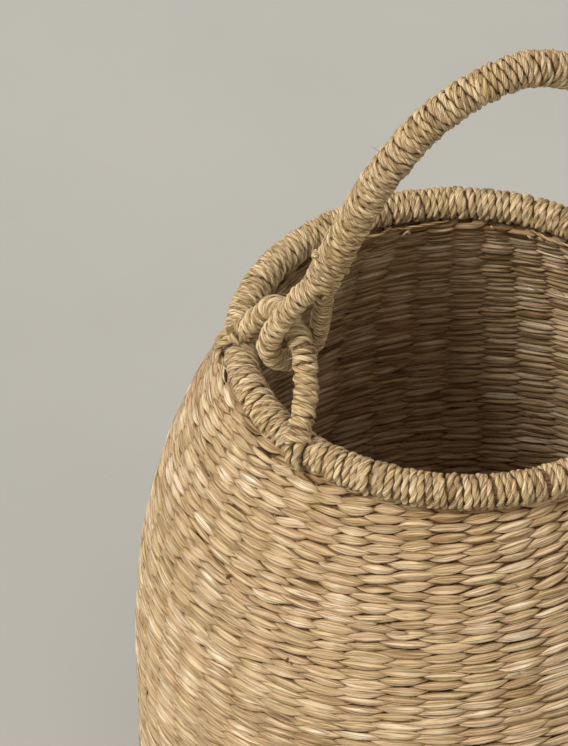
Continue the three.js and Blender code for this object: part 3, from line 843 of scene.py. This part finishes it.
def make_ears():
    """Both wrapped ears. The left one is the right one turned half round the basket's axis."""
    rng = np.random.default_rng(37)
    line = ear_line()
    from_top = np.abs(np.linspace(-1, 1, len(line)))
    roll = EAR_ROLL - CORD + 0.5 * MM * np.clip(from_top * 4 - 3.1, 0, 1)
    winding = {"slant": 0.1, "lean": 0.5, "jitter": 0.2}
    for side, sign in (("right", 1.0), ("left", -1.0)):
        shell = Shell()
        route = line * np.array([sign, sign, 1])
        outwards = np.array([sign, 0, 0])
        wrap(shell, rng, route, outwards, (roll, roll), LOOP_PITCH, winding, lay=17 * MM, hairs=14)
        nodes = [f"{side}_ear_wrap", f"{side}_ear_core"]
        place(shell, f"{side}_ear_cord", "basket", cord_fibre, nodes)


def add_foot_gap_shade(shell, middle):
    """A near-black blade on the weave: painted shade of the gap that the strands of a foot pull open
    between the rim's turns and the weave.
    """
    part = np.linspace(0, 1, 8)
    across = middle + (4.2 * MM + part * 6.5 * MM) / RIM_RADIUS
    line = rim_point(across, 7.3 * MM + 0.6 * MM * part, -8.4 * MM - 1.6 * MM * part)
    away = unit(line - rim_point(across, -4 * MM))
    along = unit(np.gradient(line, axis=0))
    add_blade(shell, line, np.cross(along, away), away, 1.3 * MM, 0.6 * MM, 0.0)


def make_bindings():
    """The rim's turns beside each foot, and the two strands that hold the foot into the wall."""
    rng = np.random.default_rng(41)
    feet = {
        "right_back_foot_binding": LEG_ANGLE,
        "right_front_foot_binding": -LEG_ANGLE,
        "left_front_foot_binding": math.pi + LEG_ANGLE,
        "left_back_foot_binding": math.pi - LEG_ANGLE,
    }
    for node, middle in feet.items():
        angle = np.linspace(middle - BINDING_ANGLE, middle + BINDING_ANGLE, 8)
        outwards = np.array([math.cos(angle[0]), math.sin(angle[0]), 0])
        radii = (RIM_ROLL - CORD, RIM_ROLL - CORD)
        winding = {"slant": 0.2, "lean": 0.8}
        shell = Shell()
        wrap(shell, rng, rim_point(angle), outwards, radii, TURN_PITCH, winding, tone=0.68)
        tight = node in ("left_back_foot_binding", "right_front_foot_binding")
        pull = (TIGHT_LEG_ANGLE - LEG_ANGLE) if tight else FOOT_DRIFT
        pull = -pull if math.sin(2 * middle) < 0 else pull
        for aside in (-2.5, 1.9):
            turns = np.radians((62, 35, 5, -28, -58))
            reach = np.array((10.6, 11.4, 10.9, 9.9, 9.0)) * MM
            across = middle + pull + (aside * MM + rng.normal(0, 0.3 * MM, 5)) / RIM_RADIUS
            knots = rim_point(across, reach * np.cos(turns), reach * np.sin(turns))
            strand = resample(catmull(knots, 8), 40)
            outward = strand - rim_point(middle)
            lay_cord(shell, rng, strand, outward, FOOT_CORD, lay=16 * MM, tone=0.68, hairs=1)
        add_foot_gap_shade(shell, middle + pull)
        place(shell, f"{node}_cord", "basket", cord_fibre, [node])


def make_cut_ends():
    """Cut ends of stakes and strands that stand out of the weave just under the rim, inside."""
    rng = np.random.default_rng(43)
    shell = Shell()
    spots = [*np.radians(CUT_ENDS_SEEN), *rng.uniform(0, 2 * math.pi, CUT_ENDS_MORE)]
    for angle in spots:
        radius = rng.uniform(99.0, 100.4) * MM
        top = RIM_HEIGHT - RIM_ROLL + rng.uniform(-1.6, 1.2) * MM
        length = rng.uniform(2.5, 5) * MM
        part = np.linspace(0, 1, 4)
        aside = np.array([-math.sin(angle), math.cos(angle), 0])
        away = np.array([math.cos(angle), math.sin(angle), 0])
        drift = rng.normal(0, 2 * MM)
        points = away * (radius + part * 1.4 * MM)[:, None] + aside * (part * drift)[:, None]
        points[:, 2] = top - part * length
        broad, normal = [np.broadcast_to(way, points.shape) for way in (aside, away)]
        wide = rng.uniform(0.7, 1.5) * MM
        add_blade(shell, points, broad, normal, wide, 0.6 * MM, rng.uniform(0.3, 0.9))
    place(shell, "cut_ends", "basket", cane)


def make_tie_strands():
    """Thin strands that wander along the inside just under the rim, with small knots."""
    rng = np.random.default_rng(61)
    shell = Shell()
    for start in rng.uniform(0, 2 * math.pi, TIE_STRANDS):
        span = rng.uniform(0.12, 0.34)
        knots = np.linspace(start, start + span, max(4, int(span * 16)))
        out = rng.uniform(-7.4, -6.6, len(knots)) * MM
        up = rng.uniform(-9.2, -7.6, len(knots)) * MM
        out[[0, -1]] = -5 * MM
        up[[0, -1]] = -7.5 * MM
        line = resample(catmull(rim_point(knots, out, up), 8), 60)
        outward = line * np.array([-1, -1, 0])
        lay_cord(shell, rng, line, outward, radius=rng.uniform(0.6, 0.9) * MM, lay=12 * MM, tone=0.45)
    place(shell, "tie_strands", "basket", straw)


# Handle


def leaned(flat):
    """From the handle's own plane (along X, height above the hinge) to the frame."""
    flat = np.asarray(flat, float)
    x, h = flat[:, 0], flat[:, 1]
    return np.stack([x, -h * math.sin(HANDLE_LEAN), HINGE.z + h * math.cos(HANDLE_LEAN)], 1)


def arch_line():
    """Middle of the handle's arch from the foot of the left neck to the foot of the right one."""
    rise = HANDLE_TOP - NECK_FOOT
    half = [(1, 0), (0.864, 0.32), (0.7, 0.617), (0.418, 0.878)]
    left = [(-NECK_HALF * u, NECK_FOOT + rise * h) for u, h in half]
    right = [(-x, h) for x, h in reversed(left)]
    line = catmull(leaned([*left, (0, HANDLE_TOP), *right]), 24)
    return resample(line, ARCH_STEPS + 1)


def eye_line(sign):
    """Middle of the eye's strand on the side of that sign, from inside the neck round to it."""
    flat = [(sign * (EYE_MIDDLE + EYE_HALF * u), EYE_LOW + EYE_TALL * h) for u, h in EYE_DROP]
    return resample(catmull(leaned(flat), 8), EYE_POINTS)


def add_neck_knot(shell, rng, spot, away, tangent):
    """A small knot where the lashing cord ends: two tight turns and a stub."""
    away = away / np.linalg.norm(away)
    part = np.linspace(0, 1, 50)
    turn = 4.4 * math.pi * part
    side = np.cross(tangent, away)
    line = spot + np.outer(np.cos(turn), tangent) * 1.5 * MM + np.outer(np.sin(turn), away) * 1.2 * MM
    line = line + np.outer(2 * part - 1, side) * 1.4 * MM
    lay_cord(shell, rng, line, line - spot, 1.0 * MM, lay=8 * MM, hairs=2)


def make_eye(rng, side, sign):
    """One eye: a thick winding from the neck round the loop, and a finer one back up to the neck."""
    shell = Shell()
    line = eye_line(sign)
    thick, fine = line[:EYE_THICK], line[EYE_THICK - 1:]
    swell = np.interp(np.linspace(0, 1, len(thick)), (0, 0.45, 1), (0.9, 0.8, 0.1)) * MM
    roll = EYE_ROLL - CORD + swell
    winding = {"slant": 0.14, "lean": 1.2, "jitter": 0.18}
    wrap(shell, rng, thick, PLANE_NORMAL, (roll, roll), LOOP_PITCH, winding, lay=15 * MM, hairs=9)
    roll = EYE_ROLL - 1.2 * MM - 0.3 * MM * np.linspace(0, 1, len(fine))
    winding = {"slant": 0.1, "lean": 1.2, "jitter": 0.14}
    # Painted shade: the fine cord is toned darker than the thick one, as this winding lies behind, in
    # shade.
    cord = {"radius": FINE_CORD, "lay": 10 * MM, "tone": 0.66, "hairs": 3}
    wrap(shell, rng, fine, PLANE_NORMAL, (roll, roll), FINE_PITCH, winding, **cord)
    place(shell, f"{side}_eye_cord", "handle", cord_fibre, [f"{side}_eye_wrap"])


def make_neck(rng, side, neck):
    """The lashing of one neck, which widens towards the grip, with a knot at each of its ends."""
    shell = Shell()
    upwards = np.linspace(0, 1, len(neck))
    widen = upwards if side == "left" else upwards[::-1]
    deep = NECK_DEEP + 0.7 * MM + widen * 0.9 * MM
    wide = NECK_WIDE + 0.5 * MM - widen * 0.5 * MM
    winding = {"slant": 0.16, "jitter": 0.2}
    cord = {"radius": LASH_CORD, "hairs": 5}
    wrap(shell, rng, neck, PLANE_NORMAL, (deep, wide), LASH_PITCH, winding, **cord)
    tangent, across, third = frames_along(neck, PLANE_NORMAL)
    for share, angle in NECK_KNOTS:
        at = int((share if side == "left" else 1 - share) * (len(neck) - 1))
        away = across[at] * math.cos(angle) * deep[at] + third[at] * math.sin(angle) * wide[at]
        add_neck_knot(shell, rng, neck[at] + away * 1.2, away, tangent[at])
    nodes = [f"{side}_neck_wrap", f"{side}_lashing"]
    place(shell, f"{side}_neck_cord", "handle", cord_fibre, nodes)


def make_handle():
    """The wrapped grip, and an eye and a neck on each side."""
    rng = np.random.default_rng(53)
    arch = arch_line()
    grip = arch[NECK_STEPS:-NECK_STEPS]
    roll = HANDLE_ROLL - CORD
    winding = {"slant": 0.16, "lean": 1.0, "jitter": 0.1}
    shell = Shell()
    wrap(shell, rng, grip, PLANE_NORMAL, (roll, roll), TURN_PITCH, winding, hairs=18)
    place(shell, "grip_cord", "handle", cord_fibre, ["handle_wrap"])
    make_eye(rng, "right", 1)
    make_neck(rng, "right", arch[-NECK_STEPS - 1:])
    make_eye(rng, "left", -1)
    make_neck(rng, "left", arch[:NECK_STEPS + 1])


# Camera, lamps and floor

CAMERA_RISE = math.radians(41.364)
CAMERA_TURN = math.radians(-22)
CAMERA_DISTANCE = 1.9
METRES_PER_PIXEL = 0.4844 * MM  # at the middle of the rim
RIM_MIDDLE_PIXEL = (460.56, 341.7)
SENSOR = 36.0
BACKDROP = (0.415, 0.402, 0.362)
FLOOR_HALF = 12


def make_camera():
    """The camera at the photo's view, aimed by where the middle of the rim stands in the photo."""
    back = Vector((
        math.sin(CAMERA_TURN) * math.cos(CAMERA_RISE),
        -math.cos(CAMERA_TURN) * math.cos(CAMERA_RISE),
        math.sin(CAMERA_RISE),
    ))
    right = Vector((math.cos(CAMERA_TURN), math.sin(CAMERA_TURN), 0))
    up = back.cross(right)
    aside = (PHOTO_WIDTH / 2 - RIM_MIDDLE_PIXEL[0]) * METRES_PER_PIXEL
    below = (PHOTO_HEIGHT / 2 - RIM_MIDDLE_PIXEL[1]) * METRES_PER_PIXEL
    data = bpy.data.cameras.new("camera")
    data.sensor_width = SENSOR
    data.lens = SENSOR * CAMERA_DISTANCE / METRES_PER_PIXEL / PHOTO_HEIGHT
    data.clip_start = 0.05
    data.clip_end = 100
    camera = bpy.data.objects.new("camera", data)
    camera.location = Vector((0, 0, RIM_HEIGHT)) + back * CAMERA_DISTANCE + right * aside - up * below
    camera.rotation_mode = "QUATERNION"
    camera.rotation_quaternion = back.to_track_quat("Z", "Y")
    bpy.context.scene.collection.objects.link(camera)
    bpy.context.scene.camera = camera


def make_lamp(name, direction, strength, softness):
    """A sun that shines from a direction, as wide as softness in degrees."""
    data = bpy.data.lights.new(name, "SUN")
    data.energy = strength
    data.angle = math.radians(softness)
    lamp = bpy.data.objects.new(name, data)
    lamp.rotation_mode = "QUATERNION"
    lamp.rotation_quaternion = Vector(direction).to_track_quat("Z", "Y")
    bpy.context.scene.collection.objects.link(lamp)


def make_surroundings():
    """World light, two lamps, and a plain floor in the colour of the photo's backdrop."""
    world = bpy.data.worlds.new("world")
    bpy.context.scene.world = world
    world.use_nodes = True
    background = world.node_tree.nodes["Background"]
    background.inputs["Color"].default_value = (1, 0.98, 0.94, 1)
    background.inputs["Strength"].default_value = 0.5
    make_lamp("key", (-0.88, -0.12, 0.91), 2.88, 24)
    make_lamp("fill", (0.3, -0.9, 0.7), 0.25, 60)
    floor = Nodes("floor")
    spot = floor.tree.nodes.new("ShaderNodeTexCoord").outputs["Object"]
    cloud = floor.noise(spot, 2.2, 5.0, 0.55)
    dull, bright = [tuple(part * share for part in BACKDROP) for share in (0.97, 1.04)]
    colour = floor.ramp(cloud, (0.35, dull), (0.65, bright))
    floor.link(colour, floor.shader.inputs["Base Color"])
    floor.shader.inputs["Roughness"].default_value = 0.95
    mesh = bpy.data.meshes.new("floor")
    corners = [(x * FLOOR_HALF, y * FLOOR_HALF, 0) for x, y in ((-1, -1), (1, -1), (1, 1), (-1, 1))]
    mesh.from_pydata(corners, [], [(0, 1, 2, 3)])
    mesh.materials.append(floor.material)
    piece = bpy.data.objects.new("floor", mesh)
    bpy.context.scene.collection.objects.link(piece)


def dress_canes():
    """The canes keep their own solids, with the cane's material."""
    for name, node in frame["nodes"].items():
        if name.startswith("stake") or name.endswith(("hoop", "core")):
            node.data.materials.clear()
            node.data.materials.append(cane)


make_camera()
make_surroundings()
make_body()
make_rim()
make_ears()
make_bindings()
make_cut_ends()
make_tie_strands()
make_handle()
dress_canes()

bpy.context.scene.view_settings.view_transform = "Standard"
